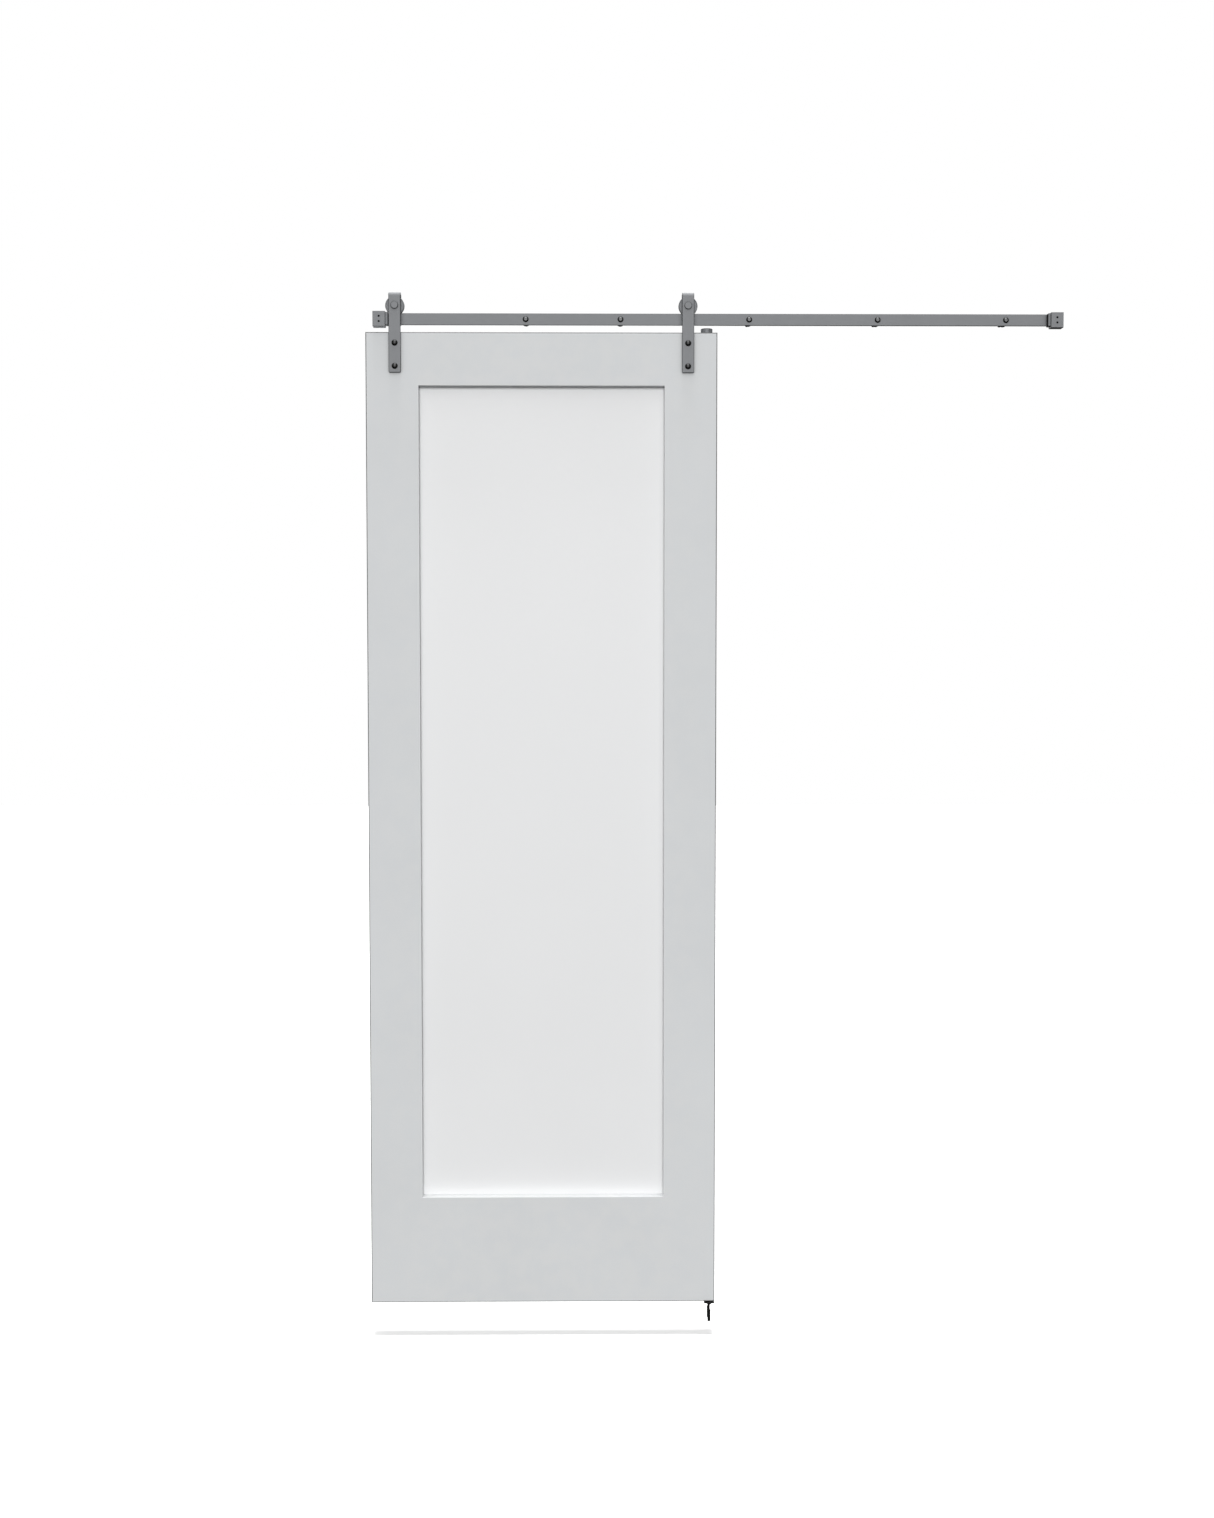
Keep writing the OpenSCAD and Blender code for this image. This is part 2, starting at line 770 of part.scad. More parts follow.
module anti_jump_screw() {
    head_top = door_top + disc_h - 0.3;
    color(black) difference() {
        translate([disc_x, door_mid, 0]) rotate_extrude() polygon([
            [0, head_top],
            [2 * disc_screw_r - 0.3, head_top],
            [disc_screw_r, door_top + disc_h - disc_cone_h()],
            [disc_screw_r, door_top - disc_screw_l + 5],
            [0.3, door_top - disc_screw_l + 1],
            [0, door_top - disc_screw_l + 1]
        ]);
        translate([disc_x, door_mid, head_top - 1.2]) cylinder(d = disc_screw_r, h = 3, $fn = 6);
    }
}

// ---- Wheel and bearing, drawn about the strap centre ----

module wheel() {
    side = wheel_w / 2;
    half_groove = groove_w / 2;
    face_dip = 0.7;
    rim_bevel = 0.6;
    lip_r = bearing_r - 1.2;
    bearing_front = -bearing_w / 2;
    turned_y(0, rail_mid, axle_z) polygon([
        [bearing_r, bearing_front],
        [bearing_r + 0.5, -side],
        [hub_ring_r, -side],
        [hub_ring_r + 0.8, -side + face_dip],
        [flange_r - 2.2, -side + face_dip],
        [flange_r - 1.4, -side],
        [flange_r - rim_bevel, -side],
        [flange_r, -side + rim_bevel],
        [flange_r, -half_groove - 0.5],
        [flange_r - 0.4, -half_groove],
        [tread_r, -half_groove],
        [tread_r, half_groove],
        [flange_r - 0.4, half_groove],
        [flange_r, half_groove + 0.5],
        [flange_r, side - rim_bevel],
        [flange_r - rim_bevel, side],
        [flange_r - 1.4, side],
        [flange_r - 2.2, side - face_dip],
        [hub_ring_r + 0.8, side - face_dip],
        [hub_ring_r, side],
        [lip_r, side],
        [lip_r, -bearing_front],
        [bearing_r, -bearing_front]
    ]);
}

// Races, shields and cage are drawn as [radius, depth] about the middle of the bearing
module outer_race() {
    turned_y(0, rail_mid, axle_z) difference() {
        translate([outer_race_bore, -bearing_w / 2]) square([bearing_r - outer_race_bore, bearing_w]);
        translate([ball_circle_r, 0]) circle(r = race_groove_r);
        for (y = [-bearing_w / 2 - cut, bearing_w / 2 - 2 * shield_t])
            translate([0, y]) square([shield_seat_r, 2 * shield_t + cut]);
    }
}

module inner_race() {
    turned_y(0, rail_mid, axle_z) difference() {
        translate([axle_r + seat_gap, -bearing_w / 2])
            square([inner_race_r - axle_r - seat_gap, bearing_w]);
        translate([ball_circle_r, 0]) circle(r = race_groove_r);
    }
}

module shields() {
    for (y = [-bearing_w / 2 + shield_t, bearing_w / 2 - 2 * shield_t])
        turned_y(0, rail_mid + y, axle_z) translate([inner_race_r + 0.3, 0])
            square([shield_seat_r - inner_race_r - 0.3 - seat_gap, shield_t]);
}

module at_each_ball() {
    for (i = [0 : ball_count - 1])
        translate([0, rail_mid, axle_z]) rotate([0, i * 360 / ball_count, 0])
            translate([ball_circle_r, 0, 0]) children();
}

module balls() {
    at_each_ball() sphere(r = ball_r);
}

module ball_cage() {
    cage_w = 2.6 * ball_r;
    difference() {
        turned_y(0, rail_mid, axle_z) translate([ball_circle_r - cage_wall / 2, -cage_w / 2])
            square([cage_wall, cage_w]);
        at_each_ball() rotate([0, 90, 0])
            cylinder(r = ball_r + seat_gap, h = 3 * cage_wall, center = true);
    }
}

module at_left() {
    translate([left_strap_x, 0, 0]) children();
}

module at_right() {
    translate([right_strap_x, 0, 0]) children();
}

rail();
rail_spacers();
rail_lag_screws();
left_stop_block();
right_stop_block();
left_stop_pad();
right_stop_pad();
left_set_screws();
right_set_screws();
floor_guide();
floor_screws();
floor_anchors();
left_stile();
right_stile();
top_rail();
bottom_rail();
frame_dowels();
glass_pane();
glazing_tape();
setting_blocks();
left_bead();
right_bead();
top_bead();
bottom_bead();
color(metal_grey) at_left() strap();  // left_strap
color(metal_grey) at_right() strap();  // right_strap
color(metal_grey) at_left() axle_bolt();  // left_axle_bolt
color(metal_grey) at_right() axle_bolt();  // right_axle_bolt
color(metal_grey) at_left() axle_nut();  // left_axle_nut
color(metal_grey) at_right() axle_nut();  // right_axle_nut
color(steel) at_left() axle_bushes();  // left_axle_bushes
color(steel) at_right() axle_bushes();  // right_axle_bushes
color(steel) at_left() inner_race();  // left_inner_race
color(steel) at_right() inner_race();  // right_inner_race
color(black) at_left() strap_bolts();  // left_strap_bolts
color(black) at_right() strap_bolts();  // right_strap_bolts
color(steel) at_left() sleeve_nuts();  // left_sleeve_nuts
color(steel) at_right() sleeve_nuts();  // right_sleeve_nuts
anti_jump_disc();
anti_jump_screw();
color(metal_grey) at_left() wheel();  // left_wheel
color(metal_grey) at_right() wheel();  // right_wheel
color(steel) at_left() outer_race();  // left_outer_race
color(steel) at_right() outer_race();  // right_outer_race
color(steel) at_left() shields();  // left_shields
color(steel) at_right() shields();  // right_shields
color(steel) at_left() balls();  // left_balls
color(steel) at_right() balls();  // right_balls
color(steel) at_left() ball_cage();  // left_ball_cage
color(steel) at_right() ball_cage();  // right_ball_cage
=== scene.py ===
import json
import math
import bmesh
import bpy
from mathutils import Matrix, Vector


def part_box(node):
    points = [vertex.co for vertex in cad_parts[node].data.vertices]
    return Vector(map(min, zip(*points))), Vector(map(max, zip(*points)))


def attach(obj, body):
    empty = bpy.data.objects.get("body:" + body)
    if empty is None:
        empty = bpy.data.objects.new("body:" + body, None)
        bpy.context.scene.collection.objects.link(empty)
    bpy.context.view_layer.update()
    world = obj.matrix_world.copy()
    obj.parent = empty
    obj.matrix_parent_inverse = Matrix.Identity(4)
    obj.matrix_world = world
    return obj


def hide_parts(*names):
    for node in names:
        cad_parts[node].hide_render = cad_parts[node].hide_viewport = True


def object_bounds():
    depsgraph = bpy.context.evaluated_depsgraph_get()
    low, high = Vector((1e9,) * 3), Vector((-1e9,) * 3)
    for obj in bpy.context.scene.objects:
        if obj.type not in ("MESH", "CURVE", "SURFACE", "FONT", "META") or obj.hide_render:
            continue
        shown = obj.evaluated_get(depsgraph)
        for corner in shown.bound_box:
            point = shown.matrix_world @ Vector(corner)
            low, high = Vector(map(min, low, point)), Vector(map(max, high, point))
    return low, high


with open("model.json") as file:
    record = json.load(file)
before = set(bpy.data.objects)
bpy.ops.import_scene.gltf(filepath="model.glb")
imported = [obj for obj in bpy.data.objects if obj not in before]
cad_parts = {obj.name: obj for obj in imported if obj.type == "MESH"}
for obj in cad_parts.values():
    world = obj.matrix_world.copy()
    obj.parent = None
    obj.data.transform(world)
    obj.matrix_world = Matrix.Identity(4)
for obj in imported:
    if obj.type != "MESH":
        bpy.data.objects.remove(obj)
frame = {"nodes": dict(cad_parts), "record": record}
cadBox = [list(corner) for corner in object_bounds()]
record = frame["record"]
mm = 0.001
scene = bpy.context.scene
scene.view_settings.view_transform = "Standard"
print("frame loaded:", len(frame["nodes"]), "nodes")

bodyOf = {}
for bodyName, members in record["behaviour"]["bodies"].items():
    for member in members:
        bodyOf[member] = bodyName


# camera, level with the middle of the leaf and a little left of it
cameraSettings = {
    "place": (-0.3565, -4.244, -0.7258),
    "turn": 0.656,
    "dip": 3.1,
    "lens": 45.57,
}


def makeCamera(settings):
    data = bpy.data.cameras.new("viewCamera")
    data.lens = settings["lens"]
    data.sensor_width = 36
    data.dof.use_dof = False
    camera = bpy.data.objects.new("viewCamera", data)
    scene.collection.objects.link(camera)
    camera.location = settings["place"]
    camera.rotation_euler = (math.radians(90 - settings["dip"]), 0, math.radians(-settings["turn"]))
    scene.camera = camera


makeCamera(cameraSettings)


# small helpers for shader nodes
def newTree(name):
    material = bpy.data.materials.new(name)
    material.use_nodes = True
    tree = material.node_tree
    tree.nodes.clear()
    output = tree.nodes.new("ShaderNodeOutputMaterial")
    shader = tree.nodes.new("ShaderNodeBsdfPrincipled")
    tree.links.new(shader.outputs["BSDF"], output.inputs["Surface"])
    return material, tree, shader


def addNode(tree, kind, inputs=None, **settings):
    node = tree.nodes.new(kind)
    for key, value in settings.items():
        setattr(node, key, value)
    for key, value in (inputs or {}).items():
        node.inputs[key].default_value = value
    return node


def newGroup(name, inputs, outputs):
    tree = bpy.data.node_groups.new(name, "ShaderNodeTree")
    for label, kind, value in inputs:
        socket = tree.interface.new_socket(name=label, in_out="INPUT", socket_type="NodeSocket" + kind)
        socket.default_value = value
    for label, kind in outputs:
        tree.interface.new_socket(name=label, in_out="OUTPUT", socket_type="NodeSocket" + kind)
    return tree, tree.nodes.new("NodeGroupInput"), tree.nodes.new("NodeGroupOutput")


def placeGroup(tree, group, **values):
    node = tree.nodes.new("ShaderNodeGroup")
    node.node_tree = group
    for label, value in values.items():
        node.inputs[label].default_value = value
    return node


def mathNode(tree, operation, first, second=None, clamp=False):
    node = tree.nodes.new("ShaderNodeMath")
    node.operation = operation
    node.use_clamp = clamp
    for index, value in enumerate((first, second)):
        if value is None:
            continue
        if isinstance(value, (int, float)):
            node.inputs[index].default_value = value
        else:
            tree.links.new(value, node.inputs[index])
    return node.outputs[0]


def rangeNode(tree, value, low, high, toLow=0.0, toHigh=1.0):
    node = tree.nodes.new("ShaderNodeMapRange")
    node.interpolation_type = "SMOOTHSTEP"
    tree.links.new(value, node.inputs["Value"])
    node.inputs["From Min"].default_value = low
    node.inputs["From Max"].default_value = high
    node.inputs["To Min"].default_value = toLow
    node.inputs["To Max"].default_value = toHigh
    return node.outputs[0]


def makeGrainGroup():
    # long fine streaks, as left by a brush, a mill or a belt
    tree, source, sink = newGroup(
        "streakGrain",
        [("Along", "Vector", (1, 1, 1)), ("Scale", "Float", 400.0), ("Detail", "Float", 3.0)],
        [("Grain", "Float")],
    )
    place = addNode(tree, "ShaderNodeTexCoord")
    stretch = addNode(tree, "ShaderNodeVectorMath", operation="MULTIPLY")
    noise = addNode(tree, "ShaderNodeTexNoise")
    tree.links.new(place.outputs["Object"], stretch.inputs[0])
    tree.links.new(source.outputs["Along"], stretch.inputs[1])
    tree.links.new(stretch.outputs[0], noise.inputs["Vector"])
    tree.links.new(source.outputs["Scale"], noise.inputs["Scale"])
    tree.links.new(source.outputs["Detail"], noise.inputs["Detail"])
    tree.links.new(noise.outputs["Fac"], sink.inputs["Grain"])
    return tree


def makeMottleGroup():
    # slow cloudy change plus a fine speckle, both centred on zero
    tree, source, sink = newGroup(
        "mottle",
        [("Cloud", "Float", 12.0), ("Speckle", "Float", 900.0), ("Share", "Float", 0.35)],
        [("Change", "Float")],
    )
    place = addNode(tree, "ShaderNodeTexCoord")
    cloud = addNode(tree, "ShaderNodeTexNoise", {"Detail": 3.0, "Roughness": 0.55})
    speckle = addNode(tree, "ShaderNodeTexNoise", {"Detail": 1.0})
    tree.links.new(place.outputs["Object"], cloud.inputs["Vector"])
    tree.links.new(place.outputs["Object"], speckle.inputs["Vector"])
    tree.links.new(source.outputs["Cloud"], cloud.inputs["Scale"])
    tree.links.new(source.outputs["Speckle"], speckle.inputs["Scale"])
    slow = mathNode(tree, "SUBTRACT", cloud.outputs["Fac"], 0.5)
    fast = mathNode(tree, "SUBTRACT", speckle.outputs["Fac"], 0.5)
    share = mathNode(tree, "MULTIPLY", fast, source.outputs["Share"])
    total = mathNode(tree, "ADD", slow, share)
    tree.links.new(total, sink.inputs["Change"])
    return tree


def makeEdgeGroup():
    # worn corners: convex places, broken up by noise
    tree, source, sink = newGroup(
        "edgeWear",
        [("Start", "Float", 0.52), ("End", "Float", 0.6), ("Break Up", "Float", 60.0)],
        [("Edge", "Float")],
    )
    geometry = addNode(tree, "ShaderNodeNewGeometry")
    place = addNode(tree, "ShaderNodeTexCoord")
    noise = addNode(tree, "ShaderNodeTexNoise", {"Detail": 4.0})
    tree.links.new(place.outputs["Object"], noise.inputs["Vector"])
    tree.links.new(source.outputs["Break Up"], noise.inputs["Scale"])
    edge = addNode(tree, "ShaderNodeMapRange")
    tree.links.new(geometry.outputs["Pointiness"], edge.inputs["Value"])
    tree.links.new(source.outputs["Start"], edge.inputs["From Min"])
    tree.links.new(source.outputs["End"], edge.inputs["From Max"])
    broken = rangeNode(tree, noise.outputs["Fac"], 0.35, 0.65)
    worn = mathNode(tree, "MULTIPLY", edge.outputs[0], broken, True)
    tree.links.new(worn, sink.inputs["Edge"])
    return tree


def makeDustGroup():
    # a light film on what faces upward
    tree, source, sink = newGroup(
        "settledDust", [("Amount", "Float", 0.2), ("Patch", "Float", 40.0)], [("Dust", "Float")]
    )
    geometry = addNode(tree, "ShaderNodeNewGeometry")
    place = addNode(tree, "ShaderNodeTexCoord")
    split = addNode(tree, "ShaderNodeSeparateXYZ")
    noise = addNode(tree, "ShaderNodeTexNoise", {"Detail": 5.0})
    tree.links.new(geometry.outputs["Normal"], split.inputs[0])
    tree.links.new(place.outputs["Object"], noise.inputs["Vector"])
    tree.links.new(source.outputs["Patch"], noise.inputs["Scale"])
    upward = rangeNode(tree, split.outputs["Z"], 0.55, 0.95)
    patchy = mathNode(tree, "MULTIPLY", upward, noise.outputs["Fac"])
    amount = mathNode(tree, "MULTIPLY", patchy, source.outputs["Amount"], True)
    tree.links.new(amount, sink.inputs["Dust"])
    return tree


def makeCreviceShadeGroup():
    # painted shade: soft darkening beside fittings from ambient occlusion, only on faces that look to the
    # front or the back
    tree, source, sink = newGroup("creviceShade", [("Reach", "Float", 0.04)], [("Shade", "Float")])
    geometry = addNode(tree, "ShaderNodeNewGeometry")
    split = addNode(tree, "ShaderNodeSeparateXYZ")
    closeness = addNode(tree, "ShaderNodeAmbientOcclusion", samples=12)
    tree.links.new(source.outputs["Reach"], closeness.inputs["Distance"])
    tree.links.new(geometry.outputs["Normal"], split.inputs[0])
    flat = rangeNode(tree, mathNode(tree, "ABSOLUTE", split.outputs["Y"]), 0.7, 0.95)
    hidden = mathNode(tree, "SUBTRACT", 1.0, closeness.outputs["AO"])
    shade = mathNode(tree, "MULTIPLY", hidden, flat, True)
    tree.links.new(shade, sink.inputs["Shade"])
    return tree


# bump depth in metres and dust colour, for each kind of finish
bumpDepth = {"metal": 0.00006, "moulded": 0.00012, "paint": 0.00025, "glass": 0.00005, "wood": 0.0001}
dustColour = {"metal": (0.6, 0.59, 0.57), "moulded": (0.4, 0.39, 0.37), "paint": (0.55, 0.54, 0.52)}

grainGroup = makeGrainGroup()
creviceShadeGroup = makeCreviceShadeGroup()
mottleGroup = makeMottleGroup()
edgeGroup = makeEdgeGroup()
dustGroup = makeDustGroup()


def tinted(tree, base, other, factor):
    node = addNode(tree, "ShaderNodeMix", data_type="RGBA")
    for socket, colour in ((node.inputs[6], base), (node.inputs[7], other)):
        if isinstance(colour, (tuple, list)):
            socket.default_value = (*colour, 1)
        else:
            tree.links.new(colour, socket)
    tree.links.new(factor, node.inputs[0])
    return node.outputs[2]


def addBump(tree, shader, height, strength, distance):
    bump = addNode(tree, "ShaderNodeBump", {"Strength": strength, "Distance": distance})
    tree.links.new(height, bump.inputs["Height"])
    tree.links.new(bump.outputs["Normal"], shader.inputs["Normal"])


def metalFinish(name, look):
    # brushed or plated metal: grain in roughness and bump, cloudy tone, paler worn edges, painted shade
    # beside fittings
    material, tree, shader = newTree(name)
    grain = placeGroup(tree, grainGroup, Along=look["along"], Scale=look["grainScale"])
    mottle = placeGroup(tree, mottleGroup, Cloud=look["cloud"], Speckle=look["speckle"])
    edge = placeGroup(tree, edgeGroup)
    dust = placeGroup(tree, dustGroup, Amount=look["dust"])
    tone = rangeNode(tree, mottle.outputs[0], -0.4, 0.4)
    base = tinted(tree, look["dark"], look["light"], tone)
    worn = mathNode(tree, "MULTIPLY", edge.outputs[0], look["wear"])
    withWear = tinted(tree, base, look["wornColour"], worn)
    # painted shade: base colour darkened towards black where ambient occlusion finds nearby parts
    paintedShade = placeGroup(tree, creviceShadeGroup, Reach=look["reach"])
    shade = mathNode(tree, "MULTIPLY", paintedShade.outputs[0], look["paintedShade"], True)
    shaded = tinted(tree, withWear, (0.0, 0.0, 0.0), shade)
    withDust = tinted(tree, shaded, dustColour["metal"], dust.outputs[0])
    tree.links.new(withDust, shader.inputs["Base Color"])
    rough = rangeNode(tree, grain.outputs[0], 0.3, 0.7, look["rough"][0], look["rough"][1])
    tree.links.new(mathNode(tree, "ADD", rough, dust.outputs[0], True), shader.inputs["Roughness"])
    shader.inputs["Metallic"].default_value = look["metallic"]
    shader.inputs["Specular IOR Level"].default_value = look["specular"]
    height = mathNode(tree, "ADD", grain.outputs[0], mottle.outputs[0])
    addBump(tree, shader, height, look["bump"], bumpDepth["metal"])
    return material


def mouldedFinish(name, look):
    # rubber, plastic and powder coat: pebbled surface, scuffed corners
    material, tree, shader = newTree(name)
    mottle = placeGroup(tree, mottleGroup, Cloud=look["cloud"], Speckle=look["speckle"], Share=0.8)
    edge = placeGroup(tree, edgeGroup)
    dust = placeGroup(tree, dustGroup, Amount=look["dust"])
    tone = rangeNode(tree, mottle.outputs[0], -0.5, 0.5)
    base = tinted(tree, look["dark"], look["light"], tone)
    scuffed = mathNode(tree, "MULTIPLY", edge.outputs[0], look["wear"])
    worn = tinted(tree, base, look["wornColour"], scuffed)
    dusty = tinted(tree, worn, dustColour["moulded"], dust.outputs[0])
    tree.links.new(dusty, shader.inputs["Base Color"])
    rough = rangeNode(tree, mottle.outputs[0], -0.4, 0.4, look["rough"][0], look["rough"][1])
    tree.links.new(rough, shader.inputs["Roughness"])
    shader.inputs["Specular IOR Level"].default_value = look["specular"]
    addBump(tree, shader, mottle.outputs[0], look["bump"], bumpDepth["moulded"])
    return material


def paintFinish(name, look):
    # sprayed satin paint over wood: faint grain under the film, slight orange peel, painted shade beside
    # fittings
    material, tree, shader = newTree(name)
    grain = placeGroup(tree, grainGroup, Along=look["along"], Scale=look["grainScale"], Detail=5.0)
    peel = placeGroup(tree, mottleGroup, Cloud=look["cloud"], Speckle=look["speckle"], Share=0.5)
    edge = placeGroup(tree, edgeGroup, **{"Break Up": 25.0})
    dust = placeGroup(tree, dustGroup, Amount=look["dust"])
    tone = rangeNode(tree, peel.outputs[0], -0.4, 0.4)
    base = tinted(tree, look["dark"], look["light"], tone)
    rubbed = mathNode(tree, "MULTIPLY", edge.outputs[0], look["wear"])
    worn = tinted(tree, base, look["wornColour"], rubbed)
    # painted shade: paint darkened towards black beside the straps and other fittings, from ambient occlusion
    paintedShade = placeGroup(tree, creviceShadeGroup, Reach=look["reach"])
    shaded = tinted(tree, worn, look["creviceShadeColour"],
                    mathNode(tree, "MULTIPLY", paintedShade.outputs[0], look["paintedShade"], True))
    dusty = tinted(tree, shaded, dustColour["paint"], dust.outputs[0])
    tree.links.new(dusty, shader.inputs["Base Color"])
    rough = rangeNode(tree, peel.outputs[0], -0.4, 0.4, look["rough"][0], look["rough"][1])
    tree.links.new(rough, shader.inputs["Roughness"])
    faint = mathNode(tree, "MULTIPLY", grain.outputs[0], look["grainShow"])
    height = mathNode(tree, "ADD", faint, peel.outputs[0])
    addBump(tree, shader, height, look["bump"], bumpDepth["paint"])
    return material


def glassFinish(name, look):
    # acid-etched white glass: milky body, fine sparkle in the etch, smooth front gloss
    material, tree, shader = newTree(name)
    etch = placeGroup(tree, mottleGroup, Cloud=look["cloud"], Speckle=look["speckle"], Share=0.6)
    tone = rangeNode(tree, etch.outputs[0], -0.4, 0.4)
    base = tinted(tree, look["dark"], look["light"], tone)
    tree.links.new(base, shader.inputs["Base Color"])
    rough = rangeNode(tree, etch.outputs[0], -0.4, 0.4, look["rough"][0], look["rough"][1])
    tree.links.new(rough, shader.inputs["Roughness"])
    shader.inputs["Metallic"].default_value = 0.0
    shader.inputs["Transmission Weight"].default_value = look["transmission"]
    shader.inputs["IOR"].default_value = 1.5
    shader.inputs["Coat Weight"].default_value = look["coat"]
    shader.inputs["Coat Roughness"].default_value = 0.04
    addBump(tree, shader, etch.outputs[0], look["bump"], bumpDepth["glass"])
    return material


def woodFinish(name, look):
    # raw beech dowel: long pores and growth tone along the peg
    material, tree, shader = newTree(name)
    grain = placeGroup(tree, grainGroup, Along=look["along"], Scale=look["grainScale"], Detail=6.0)
    tone = rangeNode(tree, grain.outputs[0], 0.3, 0.7)
    tree.links.new(tinted(tree, look["dark"], look["light"], tone), shader.inputs["Base Color"])
    rough = rangeNode(tree, grain.outputs[0], 0.3, 0.7, look["rough"][0], look["rough"][1])
    tree.links.new(rough, shader.inputs["Roughness"])
    addBump(tree, shader, grain.outputs[0], look["bump"], bumpDepth["wood"])
    return material


steelLook = {
    "dark": (0.322, 0.331, 0.344), "light": (0.337, 0.346, 0.359), "wornColour": (0.44, 0.44, 0.44),
    "along": (0.03, 1, 1), "grainScale": 1500.0, "cloud": 14.0, "speckle": 2500.0, "wear": 0.15,
    "dust": 0.08, "rough": (0.4, 0.47), "metallic": 0.7, "specular": 0.5, "bump": 0.07,
    "reach": 0.012, "paintedShade": 0.5,
}
strapLook = dict(steelLook, along=(1, 1, 0.03))
wheelLook = dict(steelLook, along=(1, 1, 1), grainScale=900.0, rough=(0.34, 0.42))
# painted shade: a near-black steel for the rounded edges of the listed metal pieces, standing in for their
# dark edges
shadedEdgeSteelLook = dict(steelLook, dark=(0.085, 0.087, 0.09), light=(0.11, 0.112, 0.116), rough=(0.3, 0.4),
                     wear=0.0)
screwLook = dict(steelLook, along=(1, 1, 1), grainScale=1200.0, rough=(0.14, 0.22), metallic=1.0,
                 dark=(0.27, 0.275, 0.28), light=(0.33, 0.335, 0.34), dust=0.0)
blackLook = {
    "dark": (0.03, 0.03, 0.031), "light": (0.05, 0.05, 0.051), "wornColour": (0.3, 0.3, 0.3),
    "along": (1, 1, 1), "grainScale": 1200.0, "cloud": 90.0, "speckle": 3000.0, "wear": 0.3,
    "dust": 0.05, "rough": (0.16, 0.26), "metallic": 0.85, "specular": 0.6, "bump": 0.1,
    "reach": 0.005, "paintedShade": 0.3,
}
domeLook = dict(blackLook, dark=(0.13, 0.13, 0.132), light=(0.155, 0.155, 0.157), rough=(0.1, 0.16),
                metallic=1.0, dust=0.0, wear=0.1, bump=0.04)
oxideLook = dict(blackLook, metallic=0.2, rough=(0.6, 0.7), specular=0.1, dark=(0.008, 0.008, 0.008),
                 light=(0.014, 0.014, 0.014), dust=0.02, wear=0.1)
bearingLook = {
    "dark": (0.55, 0.56, 0.58), "light": (0.66, 0.67, 0.69), "wornColour": (0.8, 0.8, 0.8),
    "along": (1, 1, 1), "grainScale": 1800.0, "cloud": 60.0, "speckle": 3500.0, "wear": 0.2,
    "dust": 0.02, "rough": (0.14, 0.24), "metallic": 1.0, "specular": 0.5, "bump": 0.1,
    "reach": 0.004, "paintedShade": 0.3,
}
brassLook = dict(bearingLook, dark=(0.6, 0.42, 0.17), light=(0.74, 0.55, 0.26), wornColour=(0.85, 0.7, 0.4))
powderLook = {
    "dark": (0.005, 0.005, 0.005), "light": (0.011, 0.011, 0.011), "wornColour": (0.08, 0.08, 0.08),
    "cloud": 120.0, "speckle": 2200.0, "wear": 0.15, "dust": 0.02, "rough": (0.4, 0.55), "bump": 0.4,
    "specular": 0.22,
}
plasticLook = dict(powderLook, rough=(0.4, 0.55), speckle=3000.0, bump=0.3, dust=0.05)
rubberLook = dict(powderLook, dark=(0.01, 0.01, 0.01), light=(0.02, 0.0195, 0.019), rough=(0.7, 0.85),
                  bump=0.7, dust=0.08, specular=0.15)
# the crevice entries here set the painted shade beside fittings and its black colour
paintLook = {
    "dark": (0.61, 0.625, 0.635), "light": (0.64, 0.655, 0.665), "wornColour": (0.68, 0.68, 0.67),
    "along": (1, 1, 0.04), "grainScale": 260.0, "grainShow": 0.5, "cloud": 5.0, "speckle": 700.0,
    "wear": 0.3, "dust": 0.04, "rough": (0.36, 0.46), "bump": 0.12, "reach": 0.04, "paintedShade": 0.8,
    "creviceShadeColour": (0.0, 0.0, 0.0),
}
crossPaintLook = dict(paintLook, along=(0.04, 1, 1))
# painted shade: a dark paint for the rounded outer edges of the leaf, standing in for the shade along them
shadedArrisLook = dict(paintLook, dark=(0.13, 0.132, 0.134), light=(0.18, 0.183, 0.185), wear=0.0, paintedShade=0.0)
glassLook = {
    "dark": (0.83, 0.835, 0.84), "light": (0.85, 0.855, 0.86), "cloud": 3.0, "speckle": 1800.0,
    "rough": (0.3, 0.42), "transmission": 0.1, "coat": 0.5, "bump": 0.2,
}
dowelLook = {
    "dark": (0.42, 0.27, 0.14), "light": (0.68, 0.5, 0.31), "along": (0.05, 1, 1),
    "grainScale": 600.0, "rough": (0.6, 0.75), "bump": 0.5,
}

satinSteel = metalFinish("satinGreySteel", steelLook)
strapSteel = metalFinish("satinGreyStrap", strapLook)
wheelSteel = metalFinish("turnedGreySteel", wheelLook)
shadedEdgeSteel = metalFinish("greySteelShadedEdges", shadedEdgeSteelLook)
screwSteel = metalFinish("greyScrewSteel", screwLook)
blackSteel = metalFinish("blackSteel", blackLook)
domeSteel = metalFinish("blackDomeSteel", domeLook)
oxideSteel = metalFinish("blackOxideSteel", oxideLook)
bearingSteel = metalFinish("bearingSteel", bearingLook)
cageBrass = metalFinish("cageBrass", brassLook)
powderCoat = mouldedFinish("blackPowderCoat", powderLook)
blackPlastic = mouldedFinish("blackPlastic", plasticLook)
blackRubber = mouldedFinish("blackRubber", rubberLook)
stilePaint = paintFinish("whitePaintUpright", paintLook)
railPaint = paintFinish("whitePaintAcross", crossPaintLook)
shadedArrisPaint = paintFinish("paintedShadeArris", shadedArrisLook)
frostedGlass = glassFinish("frostedGlass", glassLook)
dowelWood = woodFinish("beechDowel", dowelLook)
print("materials made:", len(bpy.data.materials))


